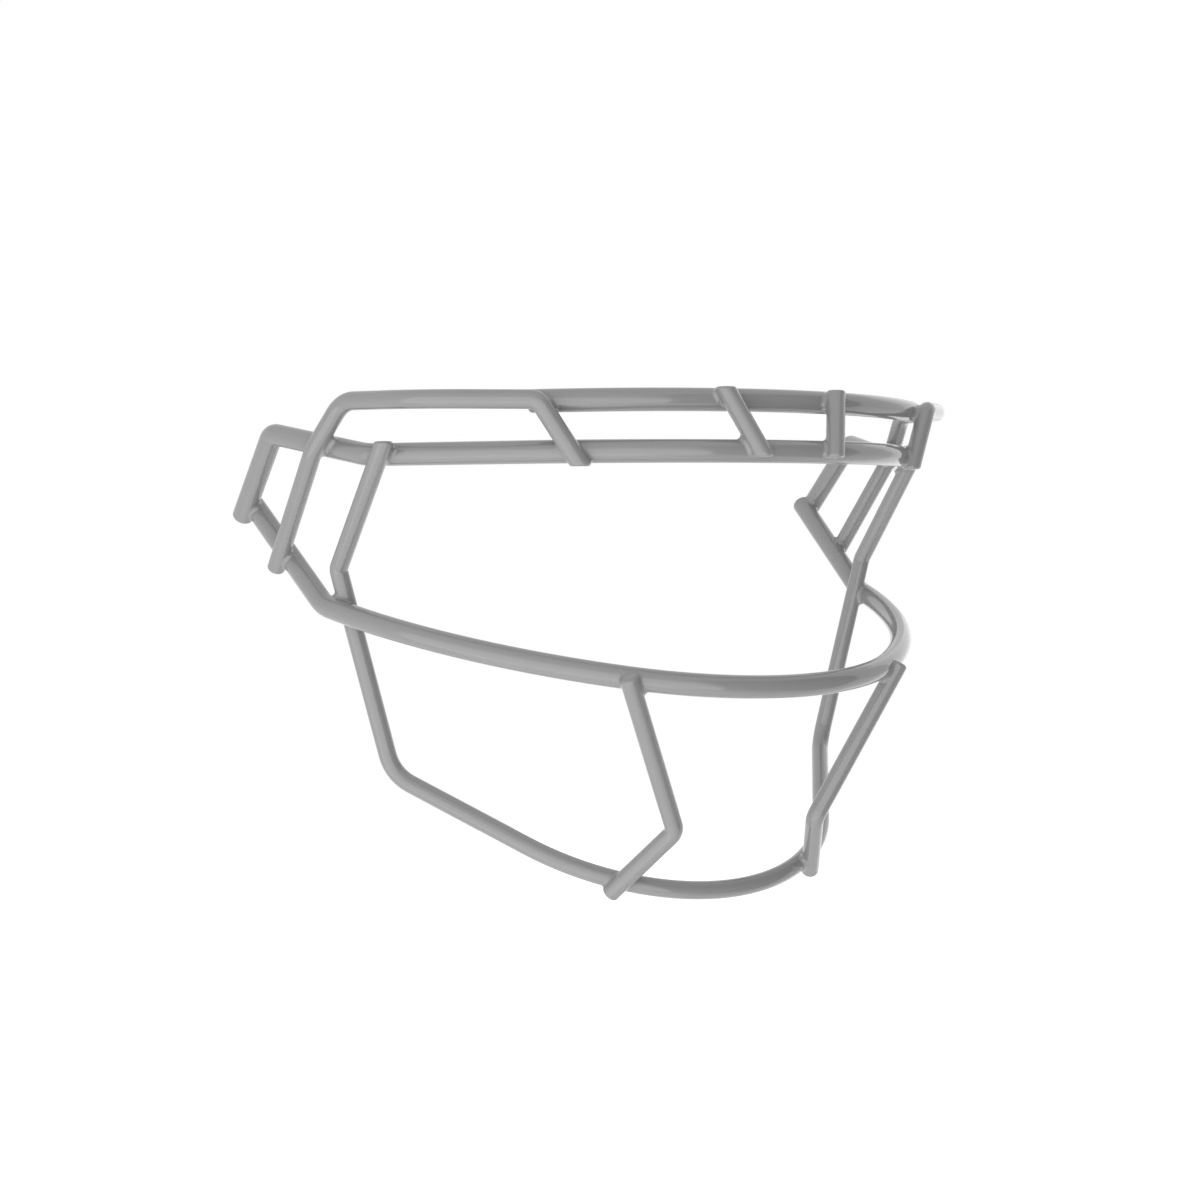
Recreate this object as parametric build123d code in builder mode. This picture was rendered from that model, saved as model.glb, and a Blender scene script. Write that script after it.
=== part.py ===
from build123d import *
from math import cos, radians, sin
import os

os.makedirs("parts", exist_ok=True)

# Wire stock, measured over its baked coat, and the finish of its ends and welds
bar_diameter = 6.4
upright_diameter = 5.25
end_round = 1.1
slant_round = 0.8
weld_throat = 0.8
weld_reach = 8.0
overrun = 12.0

# Size of the guard: where the lower brow bar passes the nose and bends behind the temples
nose_reach = 63.5
temple_half_width = 94.5
temple_back = 5.5

# Mouth bar: a deep front curve that climbs to the rear, then a steeper straight behind the cheek
mouth_level = 5.85
mouth_tilt = 13.2
mouth_ahead = 2.4
mouth_nose_angle = 36.7
mouth_cheek_angle = 37.4
mouth_cheek_out = 1.55
mouth_cheek_back = 17.45
mouth_side = 6.0
mouth_bend_radius = 12.0
mouth_rear_back = 38.7
mouth_rear_rise = 29.4
mouth_rear_out = 5.3

# Lower brow bar: level round the brow, climbing behind the temple, then down over the mouth bar
brow_level = 54.9
brow_nose_angle = 52.5
brow_temple_radius = 14.0
brow_rear_back = 38.3
brow_rear_rise = 6.9
brow_rear_out = 11.8
brow_corner_radius = 4.2
brow_leg_short = 1.8
brow_leg_overrun = 4.4
brow_leg_sunk_share = 0.5

# Top brow arc: a shorter bar above the brow bar that ends inside the side hoops
arc_rise = 12.4
arc_tilt = -1.8
arc_set_back = 7.05
arc_inside = 30.5
arc_angle = 34.0
arc_overrun = 3.0

# Chin bar: hangs from the brow bar, kicks in past the mouth bar and loops round under the chin
chin_level = -50.85
chin_tilt = 29.3
chin_set_back = 25.15
chin_nose_angle = 56.3
chin_low_inside = 16.3
chin_low_back = 22.5
chin_low_radius = 11.0
chin_kick = 11.9
chin_kick_radius = 3.3
chin_past_cheek = 0.3
chin_pass_sunk_share = 0.26
chin_before_temple = 6.2
chin_top_sunk_share = 0.16
chin_top_proud = 0.2

# Side hoop: a leg from the mouth bar up over the brow bar, a bowed top run and a tail to the front
hoop_foot_share = 0.471
hoop_foot_sunk_share = 0.41
hoop_foot_overrun = 5.0
hoop_waist_share = 0.388
hoop_waist_sunk_share = 0.12
hoop_waist_drop = 1.35
hoop_waist_radius = 15.0
hoop_shoulder_back = 10.75
hoop_shoulder_rise = 13.2
hoop_shoulder_in = 4.0
hoop_shoulder_radius = 9.5
hoop_bow = 8.6
hoop_bow_radius = 50.0
hoop_front_sunk_share = 0.05
hoop_front_radius = 4.0
hoop_tail_share = 0.796
hoop_tail_sunk_share = 0.22
hoop_tail_proud = 0.9

# Brow diagonal: a short strut over both brow bars, leaning in towards its foot
diagonal_top_share = 0.253
diagonal_top_sunk_share = 0.08
diagonal_top_proud = 0.1
diagonal_foot_share = 0.156
diagonal_foot_sunk_share = 0.27
diagonal_foot_short = 1.6

# Chin upright: forward and down from the mouth bar, then back under the chin bar
upright_top_share = 0.973
upright_top_sunk_share = 0.39
upright_top_overrun = 1.6
upright_knee_in = 21.7
upright_knee_back = 10.85
upright_knee_drop = 43.3
upright_knee_radius = 4.0
upright_foot_share = 0.57
upright_foot_droop = -41.6
upright_foot_sunk_share = 0.25
upright_foot_overrun = 1.0


def seat(diameter_a, diameter_b, sunk_share):
    """Distance between the centre lines of two wires that are pressed together in the welder."""
    return (diameter_a + diameter_b) / 2 * (1 - sunk_share)


def arc_and_straight(half_width, depth, turn):
    """Radius of a front arc of one turn, and length of the straight after it, to reach a place."""
    across = sin(radians(turn))
    along = cos(radians(turn))
    radius = (half_width * across - depth * along) / (1 - along)
    return radius, (half_width - radius * across) / along


def two_arcs(half_width, depth, first_turn, second_turn):
    """Radii of two tangent arcs, each of one turn, that reach a place from the nose."""
    across = sin(radians(first_turn))
    along = 1 - cos(radians(first_turn))
    across_both = sin(radians(first_turn + second_turn))
    along_both = 1 - cos(radians(first_turn + second_turn))
    across_second = across_both - across
    along_second = along_both - along
    spread = across * along_second - along * across_second
    first_radius = (half_width * along_second - depth * across_second) / spread
    second_radius = (depth * across - half_width * along) / spread
    return first_radius, second_radius


def outward(tangent, plane=Plane.XY):
    """Direction away from the face, from a tangent that runs from the nose to the right rear."""
    return plane.z_dir.cross(tangent).normalized()


def beside(arc, share, plane, distance):
    """Place of a wire welded on the outside of a front arc, at a share of it from its nose."""
    return arc @ share + outward(arc % share, plane) * distance


def bent_wire(route, diameter, cuts=()):
    """Round wire along a centre line, with the ends in cuts sawn off level, in the block that calls."""
    with BuildSketch(Plane(route @ 0, z_dir=route % 0)) as section:
        Circle(diameter / 2)
    sweep(section.sketch, path=route)
    for end, level, side in cuts:
        with Locations(Vector(end.X, end.Y, level)):
            Box(
                overrun * 2,
                overrun * 2,
                overrun * 2,
                align=(Align.CENTER, Align.CENTER, side),
                mode=Mode.SUBTRACT,
            )


def round_ends(wire, radius):
    """Rounded edges on the flat ends that the cutter leaves."""
    fillet(wire.faces().filter_by(GeomType.PLANE).edges(), radius)


# Mouth bar
mouth_nose = nose_reach + mouth_ahead
mouth_nose_radius, mouth_cheek_radius = two_arcs(
    temple_half_width + mouth_cheek_out,
    mouth_nose + temple_back + mouth_cheek_back,
    mouth_nose_angle,
    mouth_cheek_angle,
)
mouth_plane = Plane.XY.offset(mouth_level).rotated((mouth_tilt, 0, 0))
with BuildPart() as mouth_bar:
    with BuildLine(mouth_plane) as mouth_route:
        mouth_front = JernArc((0, -mouth_nose), (-1, 0), mouth_nose_radius, -mouth_nose_angle)
        mouth_cheek = JernArc(
            mouth_front @ 1, mouth_front % 1, mouth_cheek_radius, -mouth_cheek_angle
        )
        mouth_bend = mouth_cheek @ 1 + (mouth_cheek % 1) * mouth_side
        mouth_end = mouth_bend + Vector(-mouth_rear_out, mouth_rear_back, mouth_rear_rise)
        FilletPolyline(mouth_cheek @ 1, mouth_bend, mouth_end, radius=[mouth_bend_radius])
        mirror(about=Plane.YZ)
    bent_wire(mouth_route.wire(), bar_diameter)
    round_ends(mouth_bar, end_round)
mouth_rear = Edge.make_line(mouth_bend, mouth_end)

# Lower brow bar
brow_nose_radius, brow_side = arc_and_straight(
    temple_half_width, nose_reach + temple_back, brow_nose_angle
)
leg_gap = seat(bar_diameter, bar_diameter, brow_leg_sunk_share)
with BuildPart() as lower_brow_bar:
    with BuildLine(Plane.XY.offset(brow_level)) as brow_route:
        brow_front = JernArc((0, -nose_reach), (-1, 0), brow_nose_radius, -brow_nose_angle)
        brow_temple = brow_front @ 1 + (brow_front % 1) * brow_side
        brow_corner = brow_temple + Vector(-brow_rear_out, brow_rear_back, brow_rear_rise)
        leg_crossing = mouth_end - (mouth_rear % 0) * brow_leg_short
        leg_seat = leg_crossing + outward(mouth_rear % 0) * leg_gap
        leg_end = leg_seat + (leg_seat - brow_corner).normalized() * brow_leg_overrun
        FilletPolyline(
            brow_front @ 1,
            brow_temple,
            brow_corner,
            leg_end,
            radius=[brow_temple_radius, brow_corner_radius],
        )
        mirror(about=Plane.YZ)
    bent_wire(brow_route.wire(), bar_diameter)
    round_ends(lower_brow_bar, end_round)
brow_rear_run = Edge.make_line(brow_temple, brow_corner)

# Top brow arc, whose ends run on straight past the seats of the side hoops
arc_plane = Plane.XY.offset(brow_level + arc_rise).rotated((arc_tilt, 0, 0))
arc_nose = nose_reach - arc_set_back
arc_radius = (temple_half_width - arc_inside) / sin(radians(arc_angle))
with BuildPart() as top_brow_arc:
    with BuildLine(arc_plane) as arc_route:
        arc_front = JernArc((0, -arc_nose), (-1, 0), arc_radius, -arc_angle)
        Line(arc_front @ 1, arc_front @ 1 + (arc_front % 1) * arc_overrun)
        mirror(about=Plane.YZ)
    bent_wire(arc_route.wire(), bar_diameter)
    round_ends(top_brow_arc, end_round)

# Chin bar
chin_plane = Plane.XY.offset(chin_level).rotated((chin_tilt, 0, 0))
chin_nose = nose_reach - chin_set_back
chin_nose_radius, chin_side = arc_and_straight(
    temple_half_width - chin_low_inside, chin_nose + temple_back + chin_low_back, chin_nose_angle
)
pass_gap = seat(bar_diameter, upright_diameter, chin_pass_sunk_share)
chin_top_gap = seat(bar_diameter, upright_diameter, chin_top_sunk_share)
with BuildPart() as chin_bar:
    with BuildLine(chin_plane) as chin_route:
        chin_front = JernArc((0, -chin_nose), (-1, 0), chin_nose_radius, -chin_nose_angle)
        chin_low = chin_front @ 1 + (chin_front % 1) * chin_side
        mouth_pass = mouth_cheek @ 1 + (mouth_cheek % 1) * chin_past_cheek
        inside_mouth = mouth_pass - outward(mouth_cheek % 1, mouth_plane) * pass_gap
        chin_high = inside_mouth + (inside_mouth - chin_low).normalized() * chin_kick
        chin_crossing = brow_temple - (brow_front % 1) * chin_before_temple
        chin_top = chin_crossing + outward(brow_front % 1) * chin_top_gap
        chin_past_top = chin_top + (chin_top - chin_high).normalized() * overrun
        FilletPolyline(
            chin_front @ 1,
            chin_low,
            chin_high,
            chin_past_top,
            radius=[chin_low_radius, chin_kick_radius],
        )
        mirror(about=Plane.YZ)
    chin_top_level = brow_level + bar_diameter / 2 + chin_top_proud
    chin_cuts = [
        (chin_top, chin_top_level, Align.MIN),
        (Vector(-chin_top.X, chin_top.Y), chin_top_level, Align.MIN),
    ]
    bent_wire(chin_route.wire(), upright_diameter, chin_cuts)
    round_ends(chin_bar, slant_round)

# Side hoop of the right side
foot_gap = seat(bar_diameter, upright_diameter, hoop_foot_sunk_share)
waist_gap = seat(bar_diameter, upright_diameter, hoop_waist_sunk_share)
front_gap = seat(bar_diameter, upright_diameter, hoop_front_sunk_share)
tail_gap = seat(bar_diameter, upright_diameter, hoop_tail_sunk_share)
with BuildPart() as right_side_hoop:
    with BuildLine() as hoop_route:
        hoop_foot_seat = mouth_rear @ hoop_foot_share + outward(mouth_rear % 0) * foot_gap
        hoop_waist_seat = brow_rear_run @ hoop_waist_share + outward(brow_rear_run % 0) * waist_gap
        rise = Vector(hoop_shoulder_in, -hoop_shoulder_back, hoop_shoulder_rise)
        hoop_waist = hoop_waist_seat - rise.normalized() * hoop_waist_drop
        hoop_foot = hoop_foot_seat + (hoop_foot_seat - hoop_waist).normalized() * hoop_foot_overrun
        hoop_shoulder = hoop_waist + rise
        hoop_front = beside(arc_front, 1, arc_plane, front_gap)
        run = hoop_shoulder - hoop_front
        hoop_crown = hoop_front + run / 2 + outward(run) * hoop_bow
        hoop_tail = beside(brow_front, hoop_tail_share, Plane.XY, tail_gap)
        hoop_past_tail = hoop_tail + (hoop_tail - hoop_front).normalized() * overrun
        FilletPolyline(
            hoop_foot,
            hoop_waist,
            hoop_shoulder,
            hoop_crown,
            hoop_front,
            hoop_past_tail,
            radius=[hoop_waist_radius, hoop_shoulder_radius, hoop_bow_radius, hoop_front_radius],
        )
    hoop_cuts = [(hoop_tail, brow_level - bar_diameter / 2 - hoop_tail_proud, Align.MAX)]
    bent_wire(hoop_route.wire(), upright_diameter, hoop_cuts)
    round_ends(right_side_hoop, slant_round)

# Brow diagonal of the right side
diagonal_top_gap = seat(bar_diameter, upright_diameter, diagonal_top_sunk_share)
diagonal_foot_gap = seat(bar_diameter, upright_diameter, diagonal_foot_sunk_share)
with BuildPart() as right_brow_diagonal:
    with BuildLine() as diagonal_route:
        diagonal_high = beside(arc_front, diagonal_top_share, arc_plane, diagonal_top_gap)
        diagonal_low = beside(brow_front, diagonal_foot_share, Plane.XY, diagonal_foot_gap)
        lean = (diagonal_low - diagonal_high).normalized() * overrun
        Line(diagonal_high - lean, diagonal_low + lean)
    diagonal_cuts = [
        (diagonal_high, (arc_front @ 0).Z + bar_diameter / 2 + diagonal_top_proud, Align.MIN),
        (diagonal_low, brow_level - bar_diameter / 2 + diagonal_foot_short, Align.MAX),
    ]
    bent_wire(diagonal_route.wire(), upright_diameter, diagonal_cuts)
    round_ends(right_brow_diagonal, slant_round)

# Chin upright of the right side, whose foot lies in front of the chin bar and below it
upright_top_gap = seat(bar_diameter, upright_diameter, upright_top_sunk_share)
upright_foot_gap = seat(upright_diameter, upright_diameter, upright_foot_sunk_share)
with BuildPart() as right_chin_upright:
    with BuildLine() as upright_route:
        upright_top = beside(mouth_front, upright_top_share, mouth_plane, upright_top_gap)
        knee_way = Vector(upright_knee_in, upright_knee_back, -upright_knee_drop)
        upright_knee = upright_top + knee_way
        foot_side = outward(chin_front % upright_foot_share, chin_plane)
        foot_side = foot_side.rotate(
            Axis((0, 0, 0), chin_front % upright_foot_share), upright_foot_droop
        )
        upright_foot = chin_front @ upright_foot_share + foot_side * upright_foot_gap
        foot_way = (upright_foot - upright_knee).normalized()
        FilletPolyline(
            upright_top - knee_way.normalized() * upright_top_overrun,
            upright_knee,
            upright_foot + foot_way * upright_foot_overrun,
            radius=[upright_knee_radius],
        )
    bent_wire(upright_route.wire(), upright_diameter)
    round_ends(right_chin_upright, end_round)


def weld(place, over, under):
    """Ring of weld metal and coat in the notch between two wires, where they cross at a place."""
    with BuildPart() as grown_under:
        bent_wire(under[1], under[2] + weld_throat * 2, under[3])
    with BuildPart() as ring:
        bent_wire(over[1], over[2] + weld_throat * 2, over[3])
        with Locations(place):
            Sphere(weld_reach, mode=Mode.INTERSECT)
        add(grown_under.part, mode=Mode.INTERSECT)
        add(over[0].part, mode=Mode.SUBTRACT)
        add(under[0].part, mode=Mode.SUBTRACT)
    return ring.part


mouth = (mouth_bar, mouth_route.wire(), bar_diameter, ())
brow = (lower_brow_bar, brow_route.wire(), bar_diameter, ())
arc = (top_brow_arc, arc_route.wire(), bar_diameter, ())
chin = (chin_bar, chin_route.wire(), upright_diameter, chin_cuts)
hoop = (right_side_hoop, hoop_route.wire(), upright_diameter, hoop_cuts)
diagonal = (right_brow_diagonal, diagonal_route.wire(), upright_diameter, diagonal_cuts)
upright = (right_chin_upright, upright_route.wire(), upright_diameter, ())
welds = {
    "weld_brow_leg_to_mouth": weld(leg_seat, brow, mouth),
    "weld_chin_to_brow": weld(chin_top, chin, brow),
    "weld_chin_to_mouth": weld(inside_mouth, chin, mouth),
    "weld_hoop_to_mouth": weld(hoop_foot_seat, hoop, mouth),
    "weld_hoop_to_brow_rear": weld(hoop_waist_seat, hoop, brow),
    "weld_hoop_to_arc": weld(hoop_front, hoop, arc),
    "weld_hoop_to_brow_front": weld(hoop_tail, hoop, brow),
    "weld_diagonal_to_arc": weld(diagonal_high, diagonal, arc),
    "weld_diagonal_to_brow": weld(diagonal_low, diagonal, brow),
    "weld_upright_to_mouth": weld(upright_top, upright, mouth),
    "weld_upright_to_chin": weld(upright_foot, upright, chin),
}


def fitted(wire, *unders):
    """A wire with the seats in it where it is pressed on to the wires under it."""
    with BuildPart() as piece:
        add(wire.part)
        for under in unders:
            add(under.part, mode=Mode.SUBTRACT)
    return piece.part


def write(name, piece):
    """One finished piece in a file of its own name."""
    piece.label = name
    export_step(piece, f"parts/{name}.step")


write("mouth_bar", mouth_bar.part)
write("lower_brow_bar", fitted(lower_brow_bar, mouth_bar))
write("top_brow_arc", top_brow_arc.part)
write("chin_bar", fitted(chin_bar, lower_brow_bar, mouth_bar))

side_pieces = {
    "side_hoop": fitted(right_side_hoop, mouth_bar, lower_brow_bar, top_brow_arc),
    "brow_diagonal": fitted(right_brow_diagonal, top_brow_arc, lower_brow_bar),
    "chin_upright": fitted(right_chin_upright, mouth_bar, chin_bar),
    **welds,
}
for name, piece in side_pieces.items():
    write(f"right_{name}", piece)
    with BuildPart() as left_piece:
        mirror(piece, about=Plane.YZ)
    write(f"left_{name}", left_piece.part)
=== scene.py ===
from math import cos, radians, sin

import bmesh
import bpy
from mathutils import Matrix, Vector
from mathutils.bvhtree import BVHTree


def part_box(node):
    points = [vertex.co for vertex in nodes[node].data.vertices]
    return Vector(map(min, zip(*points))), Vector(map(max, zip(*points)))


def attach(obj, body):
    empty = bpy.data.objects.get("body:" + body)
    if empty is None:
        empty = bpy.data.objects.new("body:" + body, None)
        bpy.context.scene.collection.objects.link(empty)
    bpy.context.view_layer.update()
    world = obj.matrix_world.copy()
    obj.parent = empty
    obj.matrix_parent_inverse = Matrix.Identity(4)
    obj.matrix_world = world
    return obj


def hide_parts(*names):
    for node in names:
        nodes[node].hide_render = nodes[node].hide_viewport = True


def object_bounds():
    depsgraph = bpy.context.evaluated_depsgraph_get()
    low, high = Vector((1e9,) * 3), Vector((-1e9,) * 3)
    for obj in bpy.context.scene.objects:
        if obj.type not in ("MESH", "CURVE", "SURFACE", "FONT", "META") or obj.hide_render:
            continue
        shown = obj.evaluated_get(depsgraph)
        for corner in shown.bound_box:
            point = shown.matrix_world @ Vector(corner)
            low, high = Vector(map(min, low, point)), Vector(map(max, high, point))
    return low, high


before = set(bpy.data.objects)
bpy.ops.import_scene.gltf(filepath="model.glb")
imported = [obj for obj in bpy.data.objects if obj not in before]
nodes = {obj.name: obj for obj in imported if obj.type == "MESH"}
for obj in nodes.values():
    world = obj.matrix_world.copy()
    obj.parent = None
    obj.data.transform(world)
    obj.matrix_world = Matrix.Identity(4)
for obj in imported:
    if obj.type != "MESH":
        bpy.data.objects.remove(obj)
cad_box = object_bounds()

# Mouth bar
# The heavy bar round the mouth, of spring steel wire bent in one piece. Once all is welded, the guard
# is dipped in a thermoplastic, which melts to the same smooth, even, glossy coat on every wire.
coat_grey = 0.255
coat_roughness = 0.08
coat_ior = 1.62
drift_pitch = 0.042
drift_detail = 3.0
darkest_share = 0.97
palest_share = 1.03
glossiest_share = 0.85
dullest_share = 1.2
peel_pitch = 0.0035
peel_detail = 1.0
peel_height = 0.000001

coat = bpy.data.materials.new("baked_coat")
coat.use_nodes = True
coat_tree = coat.node_tree
coat_face = coat_tree.nodes["Principled BSDF"]
coat_face.inputs["IOR"].default_value = coat_ior

# Faint drift of tone and gloss along the wires, and faint orange peel in the skin of the coat
coordinates = coat_tree.nodes.new("ShaderNodeTexCoord")
drift = coat_tree.nodes.new("ShaderNodeTexNoise")
peel = coat_tree.nodes.new("ShaderNodeTexNoise")
for noise, pitch, detail in ((drift, drift_pitch, drift_detail), (peel, peel_pitch, peel_detail)):
    noise.inputs["Scale"].default_value = 1 / pitch
    noise.inputs["Detail"].default_value = detail
    coat_tree.links.new(coordinates.outputs["Object"], noise.inputs["Vector"])

shade = coat_tree.nodes.new("ShaderNodeValToRGB")
for stop, grey_share in zip(shade.color_ramp.elements, (darkest_share, palest_share)):
    grey = coat_grey * grey_share
    stop.color = (grey, grey, grey, 1)
coat_tree.links.new(drift.outputs["Fac"], shade.inputs["Fac"])
coat_tree.links.new(shade.outputs["Color"], coat_face.inputs["Base Color"])

rub = coat_tree.nodes.new("ShaderNodeMapRange")
rub.inputs["To Min"].default_value = coat_roughness * glossiest_share
rub.inputs["To Max"].default_value = coat_roughness * dullest_share
coat_tree.links.new(drift.outputs["Fac"], rub.inputs["Value"])
coat_tree.links.new(rub.outputs["Result"], coat_face.inputs["Roughness"])

skin = coat_tree.nodes.new("ShaderNodeBump")
skin.inputs["Distance"].default_value = peel_height
coat_tree.links.new(peel.outputs["Fac"], skin.inputs["Height"])
coat_tree.links.new(skin.outputs["Normal"], coat_face.inputs["Normal"])


def dip(name):
    """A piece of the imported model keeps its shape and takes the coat."""
    for slot in nodes[name].material_slots:
        slot.material = coat


dip("mouth_bar")

# Lower brow bar
# The second heavy bar, in the same wire, bent round the brow. Its ends turn down behind the temples
# and are welded over the ends of the mouth bar, which closes the frame.
dip("lower_brow_bar")

# Top brow arc
# A short length of the same wire above the brow bar, with both ends free. It is held by the side
# hoops and the brow diagonals that are welded across it.
dip("top_brow_arc")

# Chin bar
# Lighter wire, bent in one piece. It hangs from the brow bar on both sides, is welded to the mouth bar
# where it passes it, and loops round under the chin.
dip("chin_bar")

# Side hoops, brow diagonals and chin uprights
# Short bent lengths of the lighter wire, one of each on either side. The hoops and diagonals tie the
# top arc to the bars below it, and the uprights tie the chin bar to the mouth bar.
for side in ("right", "left"):
    for wire in ("side_hoop", "brow_diagonal", "chin_upright"):
        dip(f"{side}_{wire}")

# Welds
# Each crossing is resistance welded, and the melted coat draws into the notch round it and leaves a
# small hollow fillet. A ball rolled round the notch, touching both wires, gives that fillet.
fillet_radius = 0.0012
fillet_steps = 8
fillet_overlap = 0.0004
roll_step = 0.0004
first_reach = 0.006
first_ways = (Vector((0, -1, 0)), Vector((0, 0, -1)))
rounds_to_settle = 12
rounds_to_smooth = 4
fewest_steps = 40
most_steps = 400


def skin_of(name):
    """Surface of a wire that the ball can be set against."""
    mesh = nodes[name].data
    corners = [v.co for v in mesh.vertices]
    faces = [tuple(f.vertices) for f in mesh.polygons]
    return BVHTree.FromPolygons(corners, faces)


def set_ball(over, under, centre):
    """Moves a ball's centre until the ball touches both wires, and gives the places where it does."""
    for _ in range(rounds_to_settle):
        spot_over = over.find_nearest(centre)[0]
        spot_under = under.find_nearest(centre)[0]
        from_over = centre - spot_over
        from_under = centre - spot_under
        gap_over = from_over.length - fillet_radius
        gap_under = from_under.length - fillet_radius
        way_over = from_over.normalized()
        way_under = from_under.normalized()
        lean = way_over.dot(way_under)
        spread = 1 - lean * lean
        centre = (
            centre
            - way_over * ((gap_over - lean * gap_under) / spread)
            - way_under * ((gap_under - lean * gap_over) / spread)
        )
    return centre, spot_over, spot_under


def roll_round(over, under, start):
    """The ball's places as it rolls once round the notch between two wires, or none if it strays."""
    track = [set_ball(over, under, start)]
    while len(track) < most_steps:
        centre, spot_over, spot_under = track[-1]
        ahead = (centre - spot_over).cross(centre - spot_under).normalized()
        track.append(set_ball(over, under, centre + ahead * roll_step))
        home = (track[-1][0] - track[0][0]).length
        if len(track) > fewest_steps and home < roll_step:
            return track[:-1]
    return []


def smoothed(points):
    """A closed row of points with the facets of the wires taken out."""
    count = len(points)
    for _ in range(rounds_to_smooth):
        points = [
            (points[i - 1] + points[i] * 2 + points[(i + 1) % count]) / 4 for i in range(count)
        ]
    return points


def fillet_mesh(name, track):
    """Closed ring whose outer face is the hollow that the ball leaves."""
    centres = smoothed([place[0] for place in track])
    spots_over = smoothed([place[1] for place in track])
    spots_under = smoothed([place[2] for place in track])
    made = bmesh.new()
    rings = []
    for centre, spot_over, spot_under in zip(centres, spots_over, spots_under):
        start = spot_over - centre
        end = spot_under - centre
        turn = start.angle(end)
        ring = []
        for step in range(fillet_steps + 1):
            share = step / fillet_steps
            way = start * (sin((1 - share) * turn) / sin(turn))
            way += end * (sin(share * turn) / sin(turn))
            ring.append(made.verts.new(centre + way))
        middle = (start + end).normalized()
        depth = fillet_radius / cos(turn / 2) + fillet_overlap
        ring.append(made.verts.new(centre + middle * depth))
        rings.append(ring)
    for here, there in zip(rings, rings[1:] + rings[:1]):
        for step in range(len(here)):
            after = (step + 1) % len(here)
            face = made.faces.new((here[step], here[after], there[after], there[step]))
            face.smooth = step < fillet_steps
    bmesh.ops.recalc_face_normals(made, faces=made.faces)
    rims = {vert for ring in rings for vert in (ring[0], ring[fillet_steps])}
    for edge in made.edges:
        if edge.verts[0] in rims and edge.verts[1] in rims:
            edge.smooth = False
    mesh = bpy.data.meshes.new(name)
    made.to_mesh(mesh)
    made.free()
    return mesh


crossings = {
    "weld_brow_leg_to_mouth": ("lower_brow_bar", "mouth_bar"),
    "weld_chin_to_brow": ("chin_bar", "lower_brow_bar"),
    "weld_chin_to_mouth": ("chin_bar", "mouth_bar"),
    "weld_hoop_to_mouth": ("side_hoop", "mouth_bar"),
    "weld_hoop_to_brow_rear": ("side_hoop", "lower_brow_bar"),
    "weld_hoop_to_arc": ("side_hoop", "top_brow_arc"),
    "weld_hoop_to_brow_front": ("side_hoop", "lower_brow_bar"),
    "weld_diagonal_to_arc": ("brow_diagonal", "top_brow_arc"),
    "weld_diagonal_to_brow": ("brow_diagonal", "lower_brow_bar"),
    "weld_upright_to_mouth": ("chin_upright", "mouth_bar"),
    "weld_upright_to_chin": ("chin_upright", "chin_bar"),
}
for side in ("right", "left"):
    for crossing, (over, under) in crossings.items():
        node = f"{side}_{crossing}"
        over_name = over if over in nodes else f"{side}_{over}"
        low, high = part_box(node)
        middle = (low + high) / 2
        for way in first_ways:
            track = roll_round(skin_of(over_name), skin_of(under), middle + way * first_reach)
            if track:
                break
        if not track:
            # A notch that the ball can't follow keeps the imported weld
            dip(node)
            continue
        piece = bpy.data.objects.new(f"{node}_fillet", fillet_mesh(node, track))
        piece.data.materials.append(coat)
        bpy.context.scene.collection.objects.link(piece)
        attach(piece, "root")
        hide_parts(node)

# Studio floor and room
# The guard hangs in a bright white room, clear of a plain pale floor. Both are lifted to white where
# the lens sees them, straight or in gloss or glass, and that puts no more light on the guard.
floor_half = 6.0
floor_drop = 1.0
paper_grey = 0.9
paper_roughness = 0.8
paper_lift = 0.5
room_light = 0.75
room_seen = 1.0
white = (1, 1, 1, 1)
square = ((-1, -1), (1, -1), (1, 1), (-1, 1))


def matte(name, grey, roughness):
    """Dull plain stuff for the studio, one grey all over."""
    stuff = bpy.data.materials.new(name)
    stuff.use_nodes = True
    face = stuff.node_tree.nodes["Principled BSDF"]
    face.inputs["Base Color"].default_value = (grey, grey, grey, 1)
    face.inputs["Roughness"].default_value = roughness
    return stuff


def flat_sheet(name, corners, stuff):
    """A flat sheet with four corners, put in the studio."""
    mesh = bpy.data.meshes.new(name)
    mesh.from_pydata(corners, [], [(0, 1, 2, 3)])
    mesh.materials.append(stuff)
    sheet = bpy.data.objects.new(name, mesh)
    bpy.context.scene.collection.objects.link(sheet)
    return sheet


def seen_rays(tree):
    """Socket that is 1 for rays from the lens and rays in gloss or glass, and 0 for all others."""
    rays = tree.nodes.new("ShaderNodeLightPath")
    seen = rays.outputs["Is Camera Ray"]
    for kind in ("Is Glossy Ray", "Is Transmission Ray"):
        either = tree.nodes.new("ShaderNodeMath")
        either.operation = "MAXIMUM"
        tree.links.new(seen, either.inputs[0])
        tree.links.new(rays.outputs[kind], either.inputs[1])
        seen = either.outputs["Value"]
    return seen


paper = matte("floor_paper", paper_grey, paper_roughness)
paper_tree = paper.node_tree
paper_face = paper_tree.nodes["Principled BSDF"]
paper_face.inputs["Emission Color"].default_value = white
lift = paper_tree.nodes.new("ShaderNodeMath")
lift.operation = "MULTIPLY"
lift.inputs[1].default_value = paper_lift
paper_tree.links.new(seen_rays(paper_tree), lift.inputs[0])
paper_tree.links.new(lift.outputs["Value"], paper_face.inputs["Emission Strength"])

floor_level = cad_box[0].z - floor_drop
floor_corners = [(x * floor_half, y * floor_half, floor_level) for x, y in square]
floor = flat_sheet("floor", floor_corners, paper)

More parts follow.
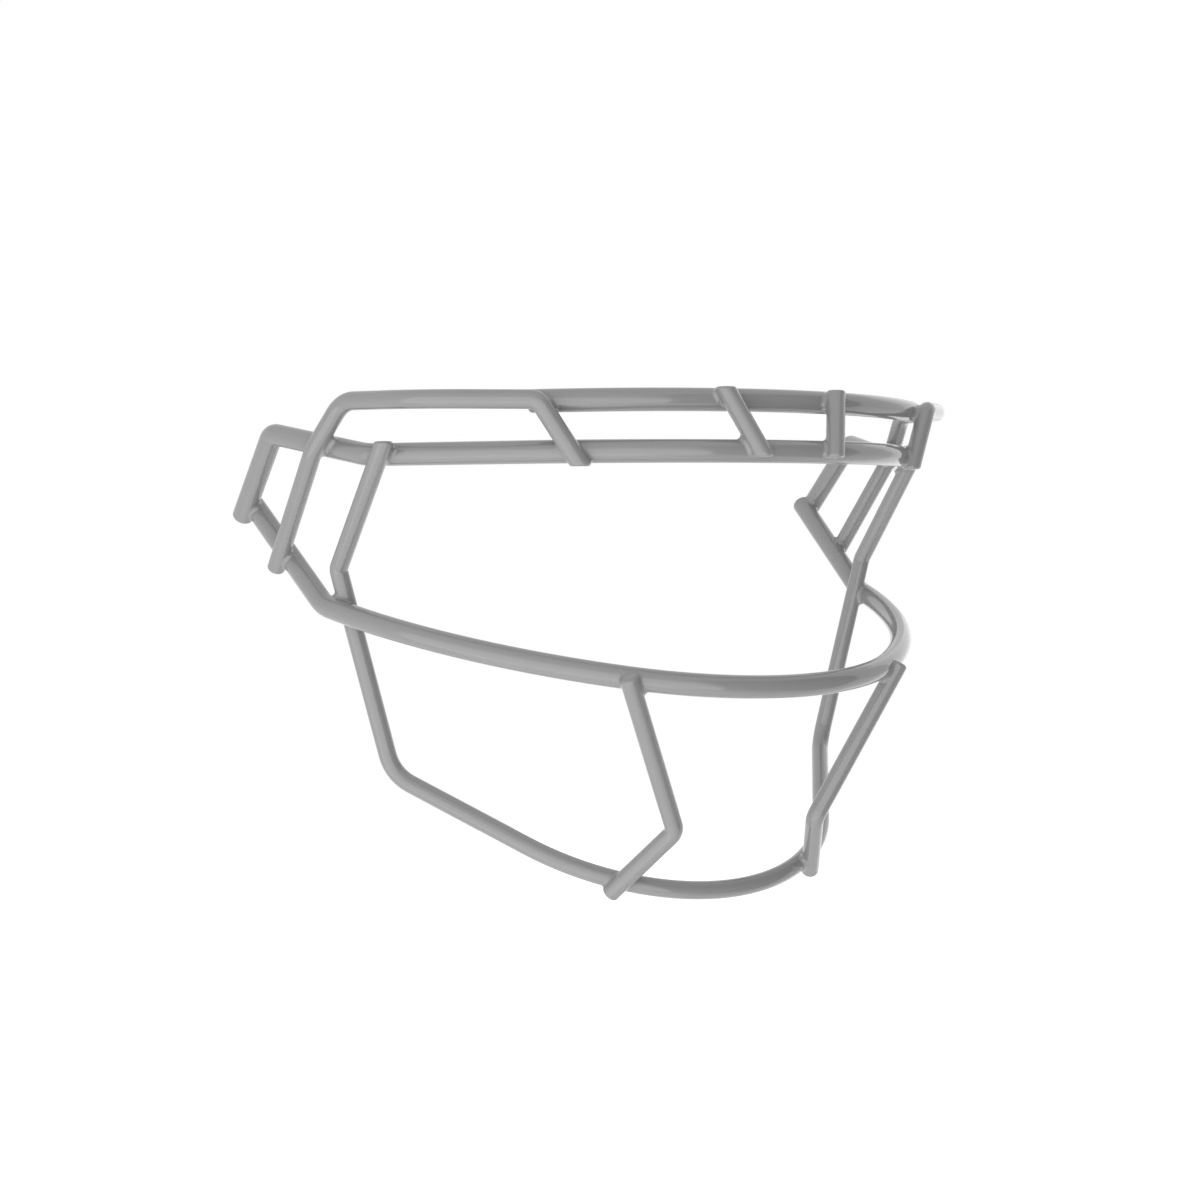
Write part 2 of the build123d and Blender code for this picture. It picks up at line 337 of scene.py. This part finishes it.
world = bpy.data.worlds.new("studio")
world.use_nodes = True
bpy.context.scene.world = world
room_tree = world.node_tree
lit_room = room_tree.nodes["Background"]
seen_room = room_tree.nodes.new("ShaderNodeBackground")
for room, strength in ((lit_room, room_light), (seen_room, room_seen)):
    room.inputs["Color"].default_value = white
    room.inputs["Strength"].default_value = strength
pick = room_tree.nodes.new("ShaderNodeMixShader")
room_tree.links.new(seen_rays(room_tree), pick.inputs["Fac"])
room_tree.links.new(lit_room.outputs["Background"], pick.inputs[1])
room_tree.links.new(seen_room.outputs["Background"], pick.inputs[2])
room_tree.links.new(pick.outputs["Shader"], room_tree.nodes["World Output"].inputs["Surface"])


# Lamps
# Three large soft boxes. The front one, ahead on the wearer's right, gives most of the light. A weak
# one stands behind on the wearer's left, and another low on the right lights the undersides.
def towards(azimuth, elevation):
    """Direction out from the guard, from straight ahead round to the wearer's left, and up."""
    turn = radians(azimuth)
    rise = radians(elevation)
    return Vector((sin(turn) * cos(rise), -cos(turn) * cos(rise), sin(rise)))


def soft_box(name, azimuth, elevation, reach, width, height, power):
    """Flat soft lamp that looks at the guard from a direction round it."""
    way = towards(azimuth, elevation)
    lamp = bpy.data.lights.new(name, "AREA")
    lamp.shape = "RECTANGLE"
    lamp.size = width
    lamp.size_y = height
    lamp.energy = power
    holder = bpy.data.objects.new(name, lamp)
    holder.location = way * reach
    holder.rotation_mode = "QUATERNION"
    holder.rotation_quaternion = way.to_track_quat("Z", "Y")
    bpy.context.scene.collection.objects.link(holder)


soft_box("front_box", azimuth=-50, elevation=-22, reach=1.3, width=3.1, height=2.6, power=23)
soft_box("side_box", azimuth=112, elevation=-2, reach=1.3, width=0.8, height=1.9, power=2)
soft_box("low_box", azimuth=-60, elevation=-62, reach=0.95, width=1.2, height=1.2, power=1.5)

# Dark card
# A card of dark felt ahead on the wearer's left, which the lens doesn't see. It gives the glossy coat
# something darker than the room to reflect, with crisp edges.
card_azimuth = 34
card_elevation = 6
card_reach = 1.2
card_half_width = 0.82
card_half_height = 1.1
felt_grey = 0.34
felt_roughness = 0.9
card_way = towards(card_azimuth, card_elevation)
card_across = Vector((0, 0, 1)).cross(card_way).normalized()
card_up = card_way.cross(card_across)
card_corners = [
    card_way * card_reach + card_across * (x * card_half_width) + card_up * (y * card_half_height)
    for x, y in square
]
card = flat_sheet("dark_card", card_corners, matte("dark_felt", felt_grey, felt_roughness))
card.visible_camera = False

# Camera
# The photograph's own view, from 32 degrees round to the wearer's right and almost level. Lens and
# place are solved from the picture, with the guard taken as symmetrical.
lens = 63.379
sensor = 36.0
camera_azimuth = -31.988
camera_elevation = 2.276
camera_roll = -0.296
camera_distance = 0.612779
camera_aim = Vector((-0.026419, -0.006794, 0.013263))
back = towards(camera_azimuth, camera_elevation)
turn = radians(camera_azimuth)
roll = radians(camera_roll)
level_right = Vector((cos(turn), sin(turn), 0))
level_up = back.cross(level_right)
right = level_right * cos(roll) + level_up * sin(roll)
up = level_up * cos(roll) - level_right * sin(roll)
camera_turn = Matrix((right, up, back)).transposed().to_4x4()
camera_data = bpy.data.cameras.new("camera")
camera_data.lens = lens
camera_data.sensor_width = sensor
camera = bpy.data.objects.new("camera", camera_data)
camera.matrix_world = Matrix.Translation(camera_aim + back * camera_distance) @ camera_turn
bpy.context.scene.collection.objects.link(camera)
bpy.context.scene.camera = camera
bpy.context.scene.view_settings.view_transform = "Standard"
